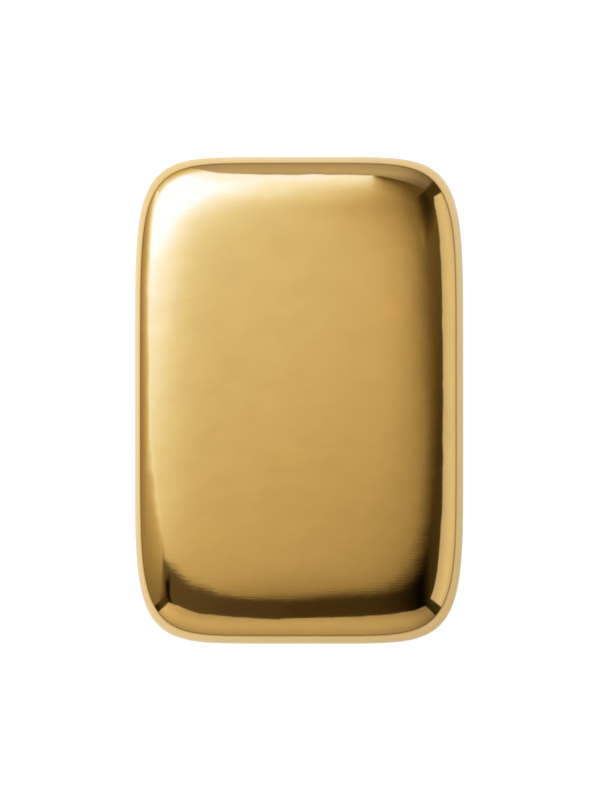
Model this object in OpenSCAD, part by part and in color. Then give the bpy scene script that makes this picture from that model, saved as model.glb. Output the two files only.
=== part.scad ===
// Cast brass ingot: one solid bar with walls that roll in at the top and a soft, crowned pillow face.
// It lies on its flat pour face. The origin is at the middle of that face, +Y runs along
// the bar and +Z points up through the pillow face. All sizes are in millimetres.

/* [Plan] */
// Length over the walls, along Y
length = 110; // [80:0.5:160]
// Width over the walls, along X
width = 74.3; // [50:0.1:110]
// Squareness of the outline: 2 is an ellipse, higher is closer to a rectangle
outline_squareness = 6.2; // [4:0.1:10]

/* [Side wall] */
// Height of the crease at the middle of each side, where the wall meets the pillow face
wall_height = 10.7; // [8:0.1:30]
// Draft of the wall's lower part, in degrees from upright, so that the bar leaves its mould
wall_draft = 2; // [1:0.1:10]
// Lean of the wall at the crease, in degrees from upright
wall_lean = 30; // [15:1:50]
// Radius of the roll between the drafted part and the crease
wall_roll_radius = 11; // [4:0.1:14]
// Radius of the wall's bottom edge
base_edge_radius = 0.8; // [0.2:0.1:2]
// How much further the end walls lean in than the side walls
end_lean_ratio = 1.15; // [1:0.01:1.4]

/* [Pillow face] */
// Slope of the shoulder where it rises from the crease, in degrees
shoulder_angle = 38; // [20:1:50]
// Width of the shoulder in plan, from the crease to where only the crown is left
shoulder_width = 18; // [8:0.1:24]
// Squareness of the shoulder's inner outline
shoulder_squareness = 3; // [2:0.1:6]
// Width next to the crease where the corners stay as tight as the outline's
corner_width = 3; // [1:0.1:6]
// Rise of the crown from the middle of each side, which also lets the crease dip at the corners
crown_rise = 3; // [0:0.1:5]

/* [Hidden] */

// Points round each section, a multiple of 4 so that the bar's two axes each have one
ring_points = 112;
// Steps along each stretch of the profile
base_edge_steps = 4;
wall_roll_steps = 7;
shoulder_steps = 18;
crown_steps = 8;
// Gain in squareness for each millimetre in from the crease, which keeps the corners' width even
corner_gain = 0.25;

// Where the wall's straight part and its roll start, as insets from the outline and heights
wall_foot_inset = base_edge_radius * (1 - cos(wall_draft));
wall_foot_z = base_edge_radius * (1 + sin(wall_draft));
roll_foot_z = wall_height - wall_roll_radius * (sin(wall_lean) - sin(wall_draft));
roll_foot_inset = wall_foot_inset + (roll_foot_z - wall_foot_z) * tan(wall_draft);
crease_inset = roll_foot_inset + wall_roll_radius * (cos(wall_draft) - cos(wall_lean));

// Half sizes of the pillow face, which the crown is measured on
face_half_x = width / 2 - crease_inset;
face_half_y = length / 2 - crease_inset * end_lean_ratio;

shoulder_rise = tan(shoulder_angle) * shoulder_width / 3;
shoulder_top = wall_height + shoulder_rise;

function blend(from, to, share) = from + (to - from) * share;
function ease(share) = let (s = min(max(share, 0), 1)) s * s * (3 - 2 * s);
function signed_power(value, power) = sign(value) * pow(abs(value), power);

// The turn of each point, halfway between even turns and turns that crowd into the corners
function point_turn(i) =
    let (even = 360 * i / ring_points,
         power = 2 / outline_squareness,
         crowded = atan2(signed_power(sin(even), power), signed_power(cos(even), power)))
    (even + (crowded < 0 ? crowded + 360 : crowded)) / 2;

// Where a ray at this turn, taken on the unit square, meets the superellipse
function superellipse_point(half_x, half_y, squareness, turn) =
    let (x = cos(turn),
         y = sin(turn),
         reach = pow(pow(abs(x), squareness) + pow(abs(y), squareness), -1 / squareness))
    [half_x * reach * x, half_y * reach * y];

// The crown: highest in the middle of the face, level with the wall's height at the middle of
// each side and lower at the corners; it dies out down the wall, so the pour face stays flat
function crown_lift(x, y, z) =
    crown_rise * (1 - pow(x / face_half_x, 2) - pow(y / face_half_y, 2)) * min(1, z / wall_height);

function section(half_x, half_y, z, squareness) = [
    for (i = [0 : ring_points - 1])
        let (p = superellipse_point(half_x, half_y, squareness, point_turn(i)))
        [p[0], p[1], z + crown_lift(p[0], p[1], z)]
];

function wall_section(inset, z) =
    section(width / 2 - inset, length / 2 - inset * end_lean_ratio, z, outline_squareness);

// Rounded bottom edge, from the flat pour face to the widest part of the bar
function base_edge_sections() = [
    for (i = [0 : base_edge_steps])
        let (a = blend(-90, 0, i / base_edge_steps))
        wall_section(base_edge_radius * (1 - cos(a)), base_edge_radius * (1 + sin(a)))
];

// The wall's foot and its roll, up to the crease
function wall_sections() = concat(
    [wall_section(wall_foot_inset, wall_foot_z)],
    [for (i = [0 : wall_roll_steps])
        let (lean = blend(wall_draft, wall_lean, i / wall_roll_steps))
        wall_section(roll_foot_inset + wall_roll_radius * (cos(wall_draft) - cos(lean)),
                     roll_foot_z + wall_roll_radius * (sin(lean) - sin(wall_draft)))]
);

// The shoulder leaves the crease at its slope and eases to level, growing rounder in plan
function shoulder_sections() = [
    for (i = [1 : shoulder_steps])
        let (share = i / shoulder_steps,
             across = shoulder_width * share,
             rounding = ease((across - corner_width) / (shoulder_width - corner_width)),
             squareness = blend(outline_squareness + corner_gain * across,
                                shoulder_squareness - corner_gain * (shoulder_width - across), rounding))
        section(face_half_x - across, face_half_y - across,
                wall_height + shoulder_rise * (1 - pow(1 - share, 3)), squareness)
];

// The crowned middle, from the end of the shoulder inwards
function crown_sections() = [
    for (i = [1 : crown_steps])
        let (share = i / (crown_steps + 1))
        section((face_half_x - shoulder_width) * (1 - share), (face_half_y - shoulder_width) * (1 - share),
                shoulder_top, blend(shoulder_squareness, 2, share))
];

// A closed solid through a stack of sections, with a point at the middle of each end
module loft(sections, first_middle, last_middle) {
    n = ring_points;
    rings = len(sections);
    points = [for (s = sections) each s, first_middle, last_middle];
    first = rings * n;
    last = first + 1;
    sides = [
        for (r = [0 : rings - 2], i = [0 : n - 1])
            let (j = (i + 1) % n, low = r * n, high = low + n)
            each [[low + i, high + i, high + j], [low + i, high + j, low + j]]
    ];
    first_end = [for (i = [0 : n - 1]) [first, i, (i + 1) % n]];
    last_end = [for (i = [0 : n - 1]) [last, first - n + (i + 1) % n, first - n + i]];
    polyhedron(points, concat(sides, first_end, last_end), convexity = 2);
}

module ingot() {
    color("goldenrod")
        loft(concat(base_edge_sections(), wall_sections(), shoulder_sections(), crown_sections()),
             [0, 0, 0], [0, 0, shoulder_top + crown_rise]);
}

ingot();
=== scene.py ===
# Cast brass ingot with a soft, brushed pillow face, seen from straight above on a white table.
# Sizes of the ingot are in millimetres, as in its drawing. Places of the studio are in metres.
import math
from collections import namedtuple

import bpy
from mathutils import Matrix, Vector


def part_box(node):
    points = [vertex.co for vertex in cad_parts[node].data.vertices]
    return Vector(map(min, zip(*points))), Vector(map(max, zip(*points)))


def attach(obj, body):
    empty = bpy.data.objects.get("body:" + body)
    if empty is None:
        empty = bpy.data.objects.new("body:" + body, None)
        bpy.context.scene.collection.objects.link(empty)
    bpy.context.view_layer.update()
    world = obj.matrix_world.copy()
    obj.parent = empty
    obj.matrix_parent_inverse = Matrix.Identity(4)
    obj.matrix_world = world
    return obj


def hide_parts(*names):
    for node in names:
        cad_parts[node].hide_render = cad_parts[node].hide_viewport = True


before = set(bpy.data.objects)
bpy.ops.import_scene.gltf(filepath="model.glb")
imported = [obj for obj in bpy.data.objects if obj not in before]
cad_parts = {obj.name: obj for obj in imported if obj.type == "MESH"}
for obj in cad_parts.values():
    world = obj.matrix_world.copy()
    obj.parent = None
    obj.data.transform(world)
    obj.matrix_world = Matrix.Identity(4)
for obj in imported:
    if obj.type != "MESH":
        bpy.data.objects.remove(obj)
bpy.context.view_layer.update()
MM = 0.001

# Plan of the ingot, from its CAD node
ingot_low, ingot_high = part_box("ingot")
HALF_WIDTH = (ingot_high.x - ingot_low.x) / 2 / MM
HALF_LENGTH = (ingot_high.y - ingot_low.y) / 2 / MM
# Squareness of the outline: 2 is an ellipse, higher is closer to a rectangle
OUTLINE_SQUARENESS = 6.2

# Side wall: nearly upright at its foot, rolling in to the crease at its head
WALL_HEIGHT = 10.7
WALL_DRAFT = math.radians(2)
WALL_LEAN = math.radians(30)
WALL_ROLL_RADIUS = 11.0
BASE_EDGE_RADIUS = 0.8
# How much further the end walls lean in than the side walls
END_LEAN_RATIO = 1.15

# Pillow face: a shoulder that eases from the crease to a crowned middle
SHOULDER_ANGLE = math.radians(38)
SHOULDER_WIDTH = 18.0
SHOULDER_SQUARENESS = 3.0
MIDDLE_SQUARENESS = 2.0
CROWN_RISE = 3.0
# Width next to the crease where the corners stay as tight as the outline's
CORNER_WIDTH = 3.0
# Gain in squareness for each millimetre in from the crease, which keeps the corners' width even
CORNER_GAIN = 0.25

# Where the wall's straight part, its roll and the crease lie, and the half sizes of the face
WALL_FOOT_INSET = BASE_EDGE_RADIUS * (1 - math.cos(WALL_DRAFT))
WALL_FOOT_Z = BASE_EDGE_RADIUS * (1 + math.sin(WALL_DRAFT))
ROLL_FOOT_Z = WALL_HEIGHT - WALL_ROLL_RADIUS * (math.sin(WALL_LEAN) - math.sin(WALL_DRAFT))
ROLL_FOOT_INSET = WALL_FOOT_INSET + (ROLL_FOOT_Z - WALL_FOOT_Z) * math.tan(WALL_DRAFT)
CREASE_INSET = ROLL_FOOT_INSET + WALL_ROLL_RADIUS * (math.cos(WALL_DRAFT) - math.cos(WALL_LEAN))
FACE_HALF_X = HALF_WIDTH - CREASE_INSET
FACE_HALF_Y = HALF_LENGTH - CREASE_INSET * END_LEAN_RATIO
# The shoulder rises as a cubic, so its slope at the crease is 3 times its rise over its width
SHOULDER_RISE = math.tan(SHOULDER_ANGLE) * SHOULDER_WIDTH / 3
SHOULDER_TOP = WALL_HEIGHT + SHOULDER_RISE

# Fineness of the mesh
QUARTER_POINTS = 90
BASE_EDGE_STEPS = 6
WALL_STEPS = 6
WALL_ROLL_STEPS = 14
SHOULDER_STEPS = 80
CROWN_STEPS = 36
# Power by which the shoulder's rings crowd towards the crease
SHOULDER_CROWDING = 1.3
# Pieces that a quarter of the outline is measured in
OUTLINE_PIECES = 4000
# Length of outline that one radian of bend counts for when its points are shared out
BEND_LENGTH = 18.0
# Faces that meet at less than this look smooth
SMOOTH_ANGLE = math.radians(30)

# Finish of the brass, with distances in from the crease
BRASS_DULL = "#E4C483"
BRASS_BRIGHT = "#F2D18B"
CLOUD_SIZE = 9.0
# Painted shade along the crease: a darker brown that stands in for the dark line where the crease mirrors its
# own metal, and how far it reaches either side
CREASE_SHADE_COLOUR = "#A67E3E"
CREASE_SHADE_REACH = 0.28
POLISHED_TO = 2.0
BRUSHED_FROM = 11.0
EDGE_ROUGHNESS = 0.07
FACE_ROUGHNESS = 0.14
# Brush lines, drawn coarser than real ones so that they show
LINE_PITCH = 0.3
LINE_LENGTH = 2.5
LINE_DEPTH = 0.012
# Faint unevenness of the cast face
PATCH_SIZE = 6.0
PATCH_DEPTH = 0.05

# Photograph's frame, in pixels, and where the ingot lies in it
FRAME_WIDTH = 600
FRAME_HEIGHT = 804
INGOT_LEFT = 134.4
INGOT_RIGHT = 463.4
INGOT_TOP = 156.5
INGOT_BOTTOM = 643.7
# Camera straight above but for a slight lean, with its sensor in millimetres
CAMERA_DISTANCE = 2.4
CAMERA_LEAN_X = math.radians(0.85)
CAMERA_LEAN_Y = math.radians(-0.85)
SENSOR = 36.0

# Table: its white, its glow to the camera, and the painted light that the metal shows on it, darker at the
# front right and brighter towards the back left
TABLE_SIZE = 12.0
TABLE_WHITE = "#E0E0E0"
TABLE_GLOW = 0.93
TABLE_BEARING = math.radians(150)
TABLE_PAINTED_LIGHT = [(-0.06, "#A3A093"), (0.06, "#C8C8BC")]

# Dome of light over the table
DOME_RADIUS = 4.0
DOME_STRENGTH = 4.0
DOME_SEGMENTS = 64
DOME_RINGS = 32
# Its fades: a bearing in degrees from +X to +Y, and stops. A stop is how far a direction leans
# towards that bearing, from -1 to 1, and the level there
CEILING = (122, [(-0.65, 0), (-0.55, 0), (-0.5, 0.1), (-0.4, 0.45), (-0.2, 0.5), (0, 0.7),
                 (0.3, 0.65), (0.7, 0.3)])
CEILING_RIGHT = (45, [(0.3, 1), (0.5, 0.95), (0.65, 0.2), (0.8, 0.2)])
CEILING_BACK_RIGHT = (65, [(0.1, 1), (0.3, 0.9), (0.45, 0.55), (0.6, 0.45), (0.75, 0)])
KEY_FRONT_EDGE = (100, [(-0.4, 0), (-0.2, 0), (0, 0.85), (0.25, 1)])
KEY_RIGHT_EDGE = (120, [(0, 0.1), (0.2, 0.2), (0.4, 0.45), (0.6, 0.9), (0.8, 1.3)])
ROOM = (180, [(-0.95, 0.07), (-0.8, 0.06), (-0.7, 0), (-0.55, 0), (-0.2, 0.05), (0.5, 0.1)])
# The key light's fade by how far a direction points up, from 0 to 1
KEY_LOW_EDGE = [(0, 0.35), (0.1, 0.55), (0.2, 0.95), (0.25, 1)]
# Colours of the light by its level, warm where it is dim and cool where it is bright
LIGHT_TONES = [(0, "#000000"), (0.15, "#362D1A"), (0.4, "#5A503C"), (0.7, "#756B58"),
               (0.95, "#868680"), (1.15, "#949DB8"), (1.3, "#98B0FF")]

# How far the pale cards stand from the ingot's middle, and the dark flags behind and above them
CARD_X = 0.30
CARD_Y = 0.36
FLAG_DISTANCE = 0.50


def linear(hex_colour):
    """An sRGB hex colour as linear RGBA."""
    channels = [int(hex_colour[i:i + 2], 16) / 255 for i in (1, 3, 5)]
    return [c / 12.92 if c <= 0.04045 else ((c + 0.055) / 1.055) ** 2.4 for c in channels] + [1.0]


def add_node(tree, kind, inputs=None, **settings):
    """A new node with its settings, whose inputs are linked to sockets or set to values."""
    node = tree.nodes.new(kind)
    for name, value in settings.items():
        setattr(node, name, value)
    for name, value in (inputs or {}).items():
        if isinstance(value, bpy.types.NodeSocket):
            tree.links.new(value, node.inputs[name])
        else:
            node.inputs[name].default_value = value
    return node


def new_material(name):
    """A material with no nodes yet."""
    material = bpy.data.materials.new(name)
    material.use_nodes = True
    material.node_tree.nodes.clear()
    return material


# The ingot's mesh

# One ring of points round the ingot, with how far it is brushed and how much painted shade it takes at the
# crease, from 0 to 1
Ring = namedtuple("Ring", "points brushing tarnish")


def blend(start, end, share):
    return start + (end - start) * share


def ease(share):
    """A share that starts and ends gently."""
    share = min(max(share, 0), 1)
    return share * share * (3 - 2 * share)


def superellipse_point(half_x, half_y, squareness, turn):
    """Where a ray at this turn, taken on the unit square, meets the superellipse."""
    x = math.cos(turn)
    y = math.sin(turn)
    reach = (abs(x) ** squareness + abs(y) ** squareness) ** (-1 / squareness)
    return half_x * reach * x, half_y * reach * y


def quarter_turns():
    """Turns of a quarter outline whose points share out its length and its bend evenly."""
    points = []
    for i in range(OUTLINE_PIECES + 1):
        turn = math.pi / 2 * i / OUTLINE_PIECES
        points.append(superellipse_point(HALF_WIDTH, HALF_LENGTH, OUTLINE_SQUARENESS, turn))
    headings = [math.atan2(b[1] - a[1], b[0] - a[0]) for a, b in zip(points, points[1:])]
    run = [0.0]
    for i in range(OUTLINE_PIECES):
        bend = abs(math.remainder(headings[i] - headings[i - 1], math.tau)) if i else 0.0
        run.append(run[-1] + math.dist(points[i], points[i + 1]) + BEND_LENGTH * bend)
    turns = []
    place = 0
    for k in range(QUARTER_POINTS):
        target = run[-1] * k / QUARTER_POINTS
        while run[place + 1] < target:
            place += 1
        share = (target - run[place]) / (run[place + 1] - run[place])
        turns.append(math.pi / 2 * (place + share) / OUTLINE_PIECES)
    return turns


def full_turns():
    """Turns round the whole outline, the same in each quarter by mirror."""
    quarter = quarter_turns()
    half = quarter + [math.pi / 2] + [math.pi - t for t in reversed(quarter[1:])]
    return half + [math.pi + t for t in half]


TURNS = full_turns()


def ring_points(half_x, half_y, z, squareness):
    """Points lifted by the crown, which dies out down the wall and lets the corners dip."""
    points = []
    for turn in TURNS:
        x, y = superellipse_point(half_x, half_y, squareness, turn)
        crown = CROWN_RISE * (1 - (x / FACE_HALF_X) ** 2 - (y / FACE_HALF_Y) ** 2)
        points.append(Vector((x, y, z + crown * min(1, z / WALL_HEIGHT))))
    return points


def crease_shade_by_distance(distance):
    """Painted shade by the distance from the crease, on either side of it."""
    return ease(1 - abs(distance) / CREASE_SHADE_REACH)


def wall_ring(inset, z):
    half_y = HALF_LENGTH - inset * END_LEAN_RATIO
    points = ring_points(HALF_WIDTH - inset, half_y, z, OUTLINE_SQUARENESS)
    return Ring(points, brushing=0, tarnish=crease_shade_by_distance(CREASE_INSET - inset))


def base_edge_rings():
    """Rounded bottom edge, from the flat pour face to the widest part of the ingot."""
    rings = []
    for i in range(BASE_EDGE_STEPS + 1):
        a = blend(-math.pi / 2, 0, i / BASE_EDGE_STEPS)
        rings.append(wall_ring(BASE_EDGE_RADIUS * (1 - math.cos(a)), BASE_EDGE_RADIUS * (1 + math.sin(a))))
    return rings


def wall_rings():
    """The wall's drafted part and its roll, up to the crease."""
    rings = []
    for i in range(WALL_STEPS):
        share = i / WALL_STEPS
        inset = blend(WALL_FOOT_INSET, ROLL_FOOT_INSET, share)
        rings.append(wall_ring(inset, blend(WALL_FOOT_Z, ROLL_FOOT_Z, share)))
    for i in range(WALL_ROLL_STEPS + 1):
        lean = blend(WALL_DRAFT, WALL_LEAN, i / WALL_ROLL_STEPS)
        inset = ROLL_FOOT_INSET + WALL_ROLL_RADIUS * (math.cos(WALL_DRAFT) - math.cos(lean))
        z = ROLL_FOOT_Z + WALL_ROLL_RADIUS * (math.sin(lean) - math.sin(WALL_DRAFT))
        rings.append(wall_ring(inset, z))
    return rings


def shoulder_rings():
    """The shoulder leaves the crease at its slope and eases to level, growing rounder in plan."""
    rings = []
    for i in range(1, SHOULDER_STEPS + 1):
        across = SHOULDER_WIDTH * (i / SHOULDER_STEPS) ** SHOULDER_CROWDING
        share = across / SHOULDER_WIDTH
        rounding = ease((across - CORNER_WIDTH) / (SHOULDER_WIDTH - CORNER_WIDTH))
        squareness = blend(OUTLINE_SQUARENESS + CORNER_GAIN * across,
                           SHOULDER_SQUARENESS - CORNER_GAIN * (SHOULDER_WIDTH - across), rounding)
        z = WALL_HEIGHT + SHOULDER_RISE * (1 - (1 - share) ** 3)
        brushing = ease((across - POLISHED_TO) / (BRUSHED_FROM - POLISHED_TO))
        points = ring_points(FACE_HALF_X - across, FACE_HALF_Y - across, z, squareness)
        rings.append(Ring(points, brushing, crease_shade_by_distance(across)))
    return rings


def crown_rings():
    """The crowned middle, from the end of the shoulder inwards, turning into an ellipse."""
    rings = []
    for i in range(1, CROWN_STEPS):
        share = i / CROWN_STEPS
        half_x = (FACE_HALF_X - SHOULDER_WIDTH) * (1 - share)
        half_y = (FACE_HALF_Y - SHOULDER_WIDTH) * (1 - share)
        squareness = blend(SHOULDER_SQUARENESS, MIDDLE_SQUARENESS, share)
        points = ring_points(half_x, half_y, SHOULDER_TOP, squareness)
        rings.append(Ring(points, brushing=1, tarnish=0))
    return rings


def store(mesh, name, values):
    """Keeps one value for each point of the mesh, for its material."""
    mesh.attributes.new(name, "FLOAT", "POINT").data.foreach_set("value", values)


def make_ingot():
    """One closed skin, drawn up from its outline ring by ring."""
    rings = base_edge_rings() + wall_rings() + shoulder_rings() + crown_rings()
    count = len(TURNS)
    bpy.ops.object.select_all(action="DESELECT")
    bpy.ops.mesh.primitive_circle_add(vertices=count, radius=HALF_WIDTH * MM, fill_type="NOTHING")
    ingot = bpy.context.active_object
    ingot.name = "brass_ingot"
    bpy.ops.object.mode_set(mode="EDIT")
    bpy.ops.mesh.select_mode(type="VERT")
    bpy.ops.mesh.select_all(action="SELECT")
    for _ in rings[1:]:
        bpy.ops.mesh.extrude_region_move()
    bpy.ops.object.mode_set(mode="OBJECT")
    points = [point * MM for ring in rings for point in ring.points]
    ingot.data.vertices.foreach_set("co", [c for point in points for c in point])

    # The last ring closes at the middle of the face
    bpy.ops.object.mode_set(mode="EDIT")
    bpy.ops.mesh.extrude_region_move()
    bpy.ops.mesh.merge(type="CENTER")
    bpy.ops.object.mode_set(mode="OBJECT")
    middle = ingot.data.vertices[len(points)]
    middle.co = (0, 0, (SHOULDER_TOP + CROWN_RISE) * MM)

    # The first ring is filled with the flat pour face
    for i, vertex in enumerate(ingot.data.vertices):
        vertex.select = i < count
    bpy.ops.object.mode_set(mode="EDIT")
    bpy.ops.mesh.select_mode(type="VERT")
    bpy.ops.mesh.edge_face_add()
    bpy.ops.mesh.select_all(action="SELECT")
    bpy.ops.mesh.normals_make_consistent(inside=False)
    bpy.ops.object.mode_set(mode="OBJECT")
    bpy.ops.object.shade_smooth_by_angle(angle=SMOOTH_ANGLE)
    store(ingot.data, "brushing", [ring.brushing for ring in rings for _ in range(count)] + [1])
    # Painted shade along the crease, kept for each point
    store(ingot.data, "tarnish", [ring.tarnish for ring in rings for _ in range(count)] + [0])
    return ingot


# The brass

def tone_at(tree, value, stops, interpolation="LINEAR"):
    """A value turned into a colour by stops, each a place and a colour."""
    first, last = stops[0][0], stops[-1][0]
    share = add_node(tree, "ShaderNodeMapRange", {"Value": value, "From Min": first, "From Max": last})
    node = add_node(tree, "ShaderNodeValToRGB", {"Fac": share.outputs["Result"]})
    node.color_ramp.interpolation = interpolation
    elements = node.color_ramp.elements
    elements.remove(elements[1])
    for i, (at, colour) in enumerate(stops):
        mark = (at - first) / (last - first)
        element = elements.new(mark) if i else elements[0]
        element.position = mark
        element.color = colour
    return node.outputs["Color"]


def brass_height(tree, place, brushing):
    """Height of the brass in millimetres: fine lines across where it is brushed, and soft patches."""
    line_scale = (1 / (LINE_LENGTH * MM), 1 / (LINE_PITCH * MM), 1 / (LINE_LENGTH * MM))
    stretched = add_node(tree, "ShaderNodeMapping", {"Vector": place, "Scale": line_scale})
    lines = add_node(tree, "ShaderNodeTexNoise", {"Vector": stretched.outputs["Vector"], "Scale": 1.0,
                                                  "Detail": 3.0, "Roughness": 0.6})
    brushed = add_node(tree, "ShaderNodeMath", {0: lines.outputs["Fac"], 1: brushing}, operation="MULTIPLY")
    scratches = add_node(tree, "ShaderNodeMath", {0: brushed.outputs["Value"], 1: LINE_DEPTH},
                         operation="MULTIPLY")
    patches = add_node(tree, "ShaderNodeTexNoise", {"Vector": place, "Scale": 1 / (PATCH_SIZE * MM),
                                                    "Detail": 1.0})
    waves = add_node(tree, "ShaderNodeMath", {0: patches.outputs["Fac"], 1: PATCH_DEPTH},
                     operation="MULTIPLY")
    height = add_node(tree, "ShaderNodeMath", {0: scratches.outputs["Value"], 1: waves.outputs["Value"]},
                      operation="ADD")
    return height.outputs["Value"]


def brass_colour(tree, place, tarnish):
    """Brass with faint clouds in its polish, browner with painted shade along the crease."""
    clouds = add_node(tree, "ShaderNodeTexNoise", {"Vector": place, "Scale": 1 / (CLOUD_SIZE * MM),
                                                   "Detail": 6.0, "Roughness": 0.6})
    polish = tone_at(tree, clouds.outputs["Fac"], [(0, linear(BRASS_DULL)), (1, linear(BRASS_BRIGHT))])
    # Sockets by number, because those for other kinds of value have the same names
    colour = add_node(tree, "ShaderNodeMix", {0: tarnish, 6: polish, 7: linear(CREASE_SHADE_COLOUR)}, data_type="RGBA")
    return colour.outputs[2]


def brushed_brass():
    """Cast brass, polished at its edges and brushed across its face.

    The edges mirror the studio sharply. On the face, fine lines smear what it mirrors.
    """
    material = new_material("brushed_brass")
    tree = material.node_tree
    place = add_node(tree, "ShaderNodeTexCoord").outputs["Object"]
    brushing = add_node(tree, "ShaderNodeAttribute", attribute_name="brushing").outputs["Fac"]
    # How much painted shade each point takes at the crease
    tarnish = add_node(tree, "ShaderNodeAttribute", attribute_name="tarnish").outputs["Fac"]
    bump = add_node(tree, "ShaderNodeBump", {"Height": brass_height(tree, place, brushing),
                                             "Strength": 1.0, "Distance": MM})
    roughness = add_node(tree, "ShaderNodeMapRange", {"Value": brushing, "To Min": EDGE_ROUGHNESS,
                                                      "To Max": FACE_ROUGHNESS})
    brass = add_node(tree, "ShaderNodeBsdfPrincipled", {"Base Color": brass_colour(tree, place, tarnish),
                                                        "Metallic": 1.0,
                                                        "Roughness": roughness.outputs["Result"],
                                                        "Normal": bump.outputs["Normal"]})
    add_node(tree, "ShaderNodeOutputMaterial", {"Surface": brass.outputs["BSDF"]})
    return material


# The studio's light

def place_along(tree, direction):
    """How far a place of an object lies along a direction, in metres for a direction of length 1."""
    place = add_node(tree, "ShaderNodeTexCoord").outputs["Object"]
    along = add_node(tree, "ShaderNodeVectorMath", {0: place, 1: direction}, operation="DOT_PRODUCT")
    return along.outputs["Value"]


def towards(*direction):
    """Measures places of an object along a direction."""
    return lambda tree: place_along(tree, direction)


def turn_about(x, z):
    """Measures places of an upright card by their turn about a point, from up to across, in radians."""
    def measure(tree):
        across = add_node(tree, "ShaderNodeMath", {0: place_along(tree, (1, 0, 0)), 1: x},
                          operation="SUBTRACT")
        up = add_node(tree, "ShaderNodeMath", {0: place_along(tree, (0, 0, 1)), 1: z}, operation="SUBTRACT")
        turn = add_node(tree, "ShaderNodeMath", {0: across.outputs["Value"], 1: up.outputs["Value"]},
                        operation="ARCTAN2")
        return turn.outputs["Value"]
    return measure


def fade(tree, measure, stops):
    """A level that changes softly by stops, each a place and a level."""
    low = min(level for _, level in stops)
    high = max(level for _, level in stops)
    greys = []
    for at, level in stops:
        grey = (level - low) / (high - low)
        greys.append((at, (grey, grey, grey, 1)))
    share = tone_at(tree, measure(tree), greys, "B_SPLINE")
    level = add_node(tree, "ShaderNodeMapRange", {"Value": share, "To Min": low, "To Max": high})
    return level.outputs["Result"]


def faded(tree, level, fades, operation="MULTIPLY"):
    """A level changed by one fade after another, each a measure and its stops."""
    for measure, stops in fades:
        changed = add_node(tree, "ShaderNodeMath", {0: level, 1: fade(tree, measure, stops)},
                           operation=operation)
        level = changed.outputs["Value"]
    return level


def light_up(tree, colour, strength):
    lit = add_node(tree, "ShaderNodeEmission", {"Color": colour, "Strength": strength})
    add_node(tree, "ShaderNodeOutputMaterial", {"Surface": lit.outputs["Emission"]})


def light_up_by_level(tree, level):
    """Light in the tones of the dome."""
    light_up(tree, tone_at(tree, level, [(at, linear(colour)) for at, colour in LIGHT_TONES]), DOME_STRENGTH)


def hide_from_camera(thing):
    """A light or card that shows only in reflections and as light."""
    thing.visible_camera = False
    thing.visible_shadow = False


def dome_fades(*fades):
    """Fades of the dome by how far its directions lean towards a bearing."""
    measured = []
    for degrees, stops in fades:
        bearing = math.radians(degrees)
        lean = towards(math.cos(bearing) / DOME_RADIUS, math.sin(bearing) / DOME_RADIUS, 0)
        measured.append((lean, stops))
    return measured


def add_dome():
    """A large soft light above the table: dim at the front right, brightest at the back left."""
    material = new_material("studio_dome")
    tree = material.node_tree
    low_edge = (towards(0, 0, 1 / DOME_RADIUS), KEY_LOW_EDGE)
    ceiling = faded(tree, 1, dome_fades(CEILING, CEILING_RIGHT, CEILING_BACK_RIGHT))
    key = faded(tree, 1, dome_fades(KEY_FRONT_EDGE, KEY_RIGHT_EDGE) + [low_edge])
    lights = add_node(tree, "ShaderNodeMath", {0: ceiling, 1: key}, operation="ADD")
    light_up_by_level(tree, faded(tree, lights.outputs["Value"], dome_fades(ROOM), "MAXIMUM"))
    bpy.ops.object.select_all(action="DESELECT")
    bpy.ops.mesh.primitive_uv_sphere_add(segments=DOME_SEGMENTS, ring_count=DOME_RINGS, radius=DOME_RADIUS)
    dome = bpy.context.active_object
    dome.name = "studio_dome"
    dome.data.materials.append(material)
    hide_from_camera(dome)


def across_at(y, outline):
    """Corners of an upright card that runs across, from places across and heights."""
    return [(x, y, z) for x, z in outline]


def along_at(x, outline):
    """Corners of an upright card that runs along, from places along and heights."""
    return [(x, y, z) for y, z in outline]


def level_at(z, outline):
    """Corners of a level card overhead, from places across and along."""
    return [(x, y, z) for x, y in outline]


def add_card(name, level, corners, fades, colour=None, operation="MULTIPLY"):
    """A flat card that glows by its level and fades, in its colour or in the tones of the dome."""
    material = new_material(name)
    tree = material.node_tree
    level = faded(tree, level, fades, operation)
    if colour:
        light_up(tree, linear(colour), level)
    else:
        light_up_by_level(tree, level)
    bpy.ops.object.select_all(action="DESELECT")
    bpy.ops.mesh.primitive_circle_add(vertices=len(corners), fill_type="NGON")
    card = bpy.context.active_object
    card.name = name
    for vertex, corner in zip(card.data.vertices, corners):
        vertex.co = corner
    card.data.materials.append(material)
    hide_from_camera(card)


ACROSS = towards(1, 0, 0)
ALONG = towards(0, 1, 0)
UP = towards(0, 0, 1)


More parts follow.
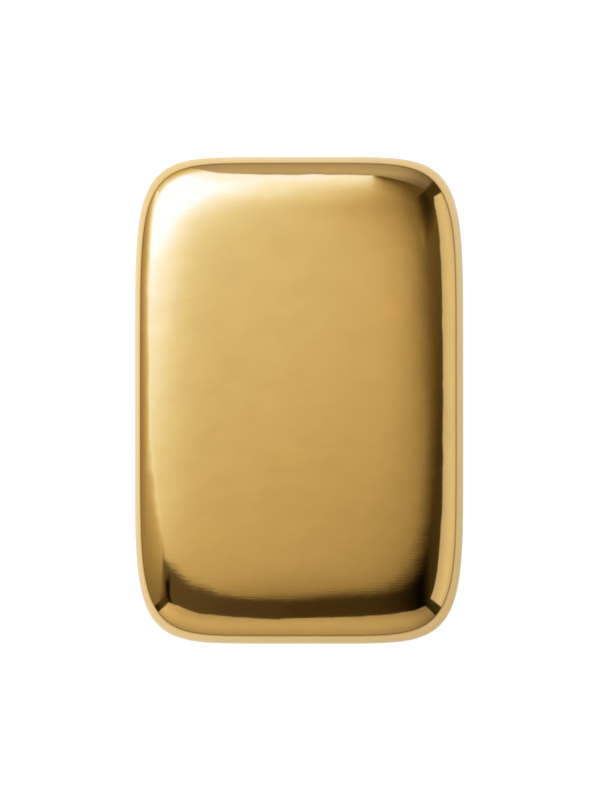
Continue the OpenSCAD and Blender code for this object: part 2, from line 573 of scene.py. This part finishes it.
def add_cards():
    """Pale cards that stand round the ingot and show in the low parts of its shoulder."""
    add_card("card_right", 0.97, colour="#FFF7EB",
             corners=along_at(CARD_X, [(-0.205, 0), (0.215, 0), (0.215, 0.095), (0.18, 0.11), (0.1, 0.115),
                                       (-0.03, 0.11), (-0.08, 0.13), (-0.205, 0.145)]),
             fades=[(UP, [(0, 0.65), (0.03, 0.8), (0.055, 1), (0.11, 0.65)])])
    add_card("card_front", 0.92, colour="#FFEBC9",
             corners=across_at(-CARD_Y, [(-0.48, 0), (0.4, 0), (0.4, 0.22), (0.34, 0.24), (0.17, 0.245),
                                         (-0.02, 0.18), (-0.25, 0.275), (-0.35, 0.295), (-0.48, 0.24)]),
             fades=[(UP, [(0, 0.5), (0.05, 0.7), (0.09, 0.9), (0.14, 1), (0.2, 0.75)]),
                    (ACROSS, [(-0.4, 1), (-0.25, 0.85), (0, 0.75), (0.15, 0.65), (0.27, 0.45), (0.4, 0.4)])])
    # The left card takes the lowest of its fades: it is dim at its front, its foot and its front top corner
    add_card("card_left", 1.2, operation="MINIMUM",
             corners=along_at(-CARD_X, [(0.22, 0), (-0.19, 0), (-0.19, 0.15), (-0.09, 0.19), (-0.06, 0.17),
                                        (-0.01, 0.085), (0.1, 0.065), (0.22, 0.035)]),
             fades=[(towards(0, 0.9, 0.45), [(-0.15, 0.25), (-0.08, 0.3), (-0.04, 0.4), (0, 0.55),
                                             (0.02, 0.9), (0.04, 1.4)]),
                    (towards(0, 0.25, 0.97), [(0, 0.35), (0.03, 0.4), (0.05, 0.6), (0.07, 0.95),
                                              (0.09, 1.4)]),
                    (towards(0, -0.8, 0.6), [(0.15, 1.4), (0.17, 0.5), (0.19, 0.2), (0.24, 0.05)])])
    add_card("card_back", 0.8, colour="#FFF1E0",
             corners=across_at(CARD_Y, [(0.335, 0), (-0.16, 0), (-0.09, 0.075), (-0.06, 0.11), (-0.03, 0.125),
                                        (0.075, 0.125), (0.13, 0.155), (0.22, 0.17), (0.335, 0.165)]),
             fades=[(UP, [(0, 0.55), (0.06, 0.7), (0.1, 0.9), (0.12, 0.6), (0.17, 0.6)]),
                    (ACROSS, [(-0.12, 0.9), (0.04, 1), (0.13, 0.7), (0.22, 0.45), (0.335, 0.35)])])


def add_flags():
    """Dark flags behind and above the cards, which keep parts of the dome out of the metal."""
    add_card("flag_front", 0.1, colour="#FFDDA7",
             corners=level_at(FLAG_DISTANCE, [(-3, -0.19), (-0.45, -0.2), (-0.2, -0.255), (-0.03, -0.43),
                                              (-0.03, -1), (-3, -1)]),
             fades=[(ACROSS, [(-1.5, 1.5), (-0.3, 1.1), (-0.03, 0.7)])])
    add_card("flag_left", 1,
             corners=along_at(-FLAG_DISTANCE, [(-0.27, 0), (-0.45, 0), (-0.45, 0.3), (-0.31, 0.35),
                                               (-0.2, 0.44), (-0.2, 0.36)]),
             fades=[(UP, [(0, 0), (0.08, 0.05), (0.16, 0.1), (0.24, 0.05), (0.3, 0), (0.36, 0),
                          (0.44, 0.1)])])
    add_card("flag_right", 1,
             corners=along_at(FLAG_DISTANCE, [(0.18, 0), (0.7, 0), (0.7, 0.7), (0.3, 0.7), (0.18, 0.5)]),
             fades=[(UP, [(0.2, 0.07), (0.3, 0.03), (0.42, 0.03), (0.52, 0.1), (0.7, 0.3)]),
                    (ALONG, [(0.18, 3.5), (0.22, 2.5), (0.27, 1.1), (0.35, 1)])])
    add_card("flag_back", 1,
             corners=across_at(FLAG_DISTANCE, [(0.075, 0), (0.08, 0.19), (0.1, 0.36), (0.15, 0.54),
                                               (0.25, 0.66), (0.5, 0.66), (0.5, 0)]),
             fades=[(turn_about(0.08, 0.19), [(0.1, 0.8), (0.3, 0.55), (0.5, 0.35), (0.7, 0.2), (1, 0.12)])])


# The studio's table and surround

def white_table():
    """A matt white table, plain white to the camera but for the ingot's faint shadow."""
    material = new_material("white_table")
    tree = material.node_tree
    path = add_node(tree, "ShaderNodeLightPath")
    matt = add_node(tree, "ShaderNodeBsdfDiffuse", {"Color": linear(TABLE_WHITE)}).outputs["BSDF"]
    white = add_node(tree, "ShaderNodeEmission", {"Color": linear("#FFFFFF"), "Strength": TABLE_GLOW})
    seen = add_node(tree, "ShaderNodeAddShader", {0: matt, 1: white.outputs["Emission"]})
    # Painted light on the table that only the metal sees: darker at the front right, away from the key light,
    # and brighter towards the back left, where the key light is
    place = place_along(tree, (math.cos(TABLE_BEARING), math.sin(TABLE_BEARING), 0))
    tones = tone_at(tree, place, [(at, linear(colour)) for at, colour in TABLE_PAINTED_LIGHT])
    glow = add_node(tree, "ShaderNodeEmission", {"Color": tones})
    mirrored = add_node(tree, "ShaderNodeAddShader", {0: matt, 1: glow.outputs["Emission"]})
    shown = add_node(tree, "ShaderNodeMixShader", {"Fac": path.outputs["Is Camera Ray"], 1: matt,
                                                   2: seen.outputs["Shader"]})
    shown = add_node(tree, "ShaderNodeMixShader", {"Fac": path.outputs["Is Glossy Ray"],
                                                   1: shown.outputs["Shader"],
                                                   2: mirrored.outputs["Shader"]})
    add_node(tree, "ShaderNodeOutputMaterial", {"Surface": shown.outputs["Shader"]})
    return material


def add_table():
    bpy.ops.object.select_all(action="DESELECT")
    bpy.ops.mesh.primitive_plane_add(size=TABLE_SIZE)
    table = bpy.context.active_object
    table.name = "table"
    table.data.materials.append(white_table())


def add_surround():
    """Plain white past the table's edge."""
    world = bpy.data.worlds.new("studio")
    bpy.context.scene.world = world
    world.use_nodes = True
    tree = world.node_tree
    tree.nodes.clear()
    white = add_node(tree, "ShaderNodeBackground", {"Color": linear("#FFFFFF"), "Strength": 1.0})
    add_node(tree, "ShaderNodeOutputWorld", {"Surface": white.outputs["Background"]})


def make_camera():
    """A long lens above the table, leaning as the photograph's does, with the ingot where it lies there."""
    metres_per_pixel = 2 * HALF_LENGTH * MM / (INGOT_BOTTOM - INGOT_TOP)
    offset_x = ((INGOT_LEFT + INGOT_RIGHT) / 2 - FRAME_WIDTH / 2) * metres_per_pixel
    offset_y = (FRAME_HEIGHT / 2 - (INGOT_TOP + INGOT_BOTTOM) / 2) * metres_per_pixel
    data = bpy.data.cameras.new("camera")
    camera = bpy.data.objects.new("camera", data)
    bpy.context.scene.collection.objects.link(camera)
    data.sensor_fit = "VERTICAL"
    data.sensor_height = SENSOR
    data.sensor_width = SENSOR
    data.lens = SENSOR * CAMERA_DISTANCE / (FRAME_HEIGHT * metres_per_pixel)
    aim = Vector((-offset_x, -offset_y, 0))
    back = Vector((math.tan(CAMERA_LEAN_X), math.tan(CAMERA_LEAN_Y), 1)).normalized()
    camera.location = aim + back * CAMERA_DISTANCE
    camera.rotation_euler = (-CAMERA_LEAN_Y, CAMERA_LEAN_X, 0)
    bpy.context.scene.camera = camera


ingot = make_ingot()
ingot.data.materials.append(brushed_brass())
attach(ingot, "root")
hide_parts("ingot")
add_table()
add_dome()
add_cards()
add_flags()
add_surround()
make_camera()
bpy.context.scene.view_settings.view_transform = "Standard"
